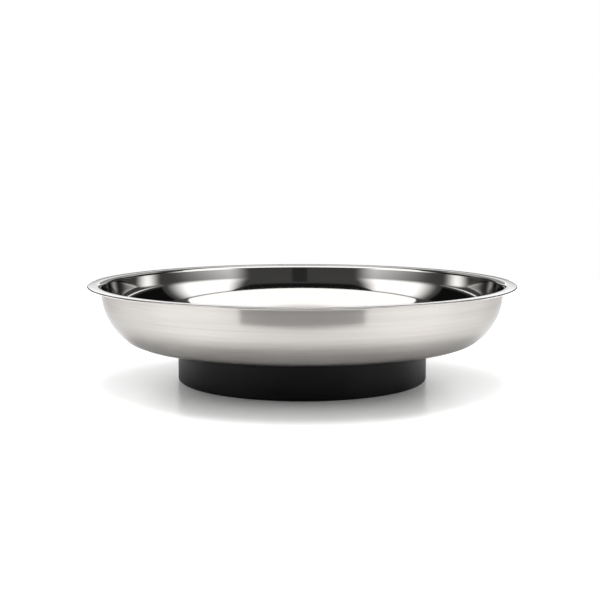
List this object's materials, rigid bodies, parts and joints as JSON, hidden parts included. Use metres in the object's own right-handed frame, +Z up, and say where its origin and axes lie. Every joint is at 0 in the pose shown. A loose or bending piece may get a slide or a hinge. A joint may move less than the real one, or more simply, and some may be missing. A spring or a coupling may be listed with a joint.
{
  "type": "magnetic parts tray",
  "caption": "Round pressed stainless dish with a flat flange, fixed on a ring magnet in a black rubber boot, for keeping small steel parts at the bench.",
  "frame": {"origin": "centre of the boot's underside, on the surface that the tray stands on", "axes": "+Z up along the axis of the dish and magnet, +X and +Y any two directions across it, -Y towards the viewer of the picture"},
  "size_m": [0.15, 0.15, 0.034],
  "materials": {
    "stainless": "satin brushed outside, mirror polished inside",
    "ferrite": "ground and matt",
    "zinc_steel": "zinc plated",
    "rubber": "moulded, satin black"
  },
  "bodies": {
    "root": {"dish": "stainless", "weld_stud": "stainless", "ring_magnet": "ferrite", "clamp_plate": "zinc_steel", "flat_washer": "zinc_steel", "spring_washer": "zinc_steel", "hex_nut": "zinc_steel", "rubber_boot": "rubber"}
  },
  "joints": []
}
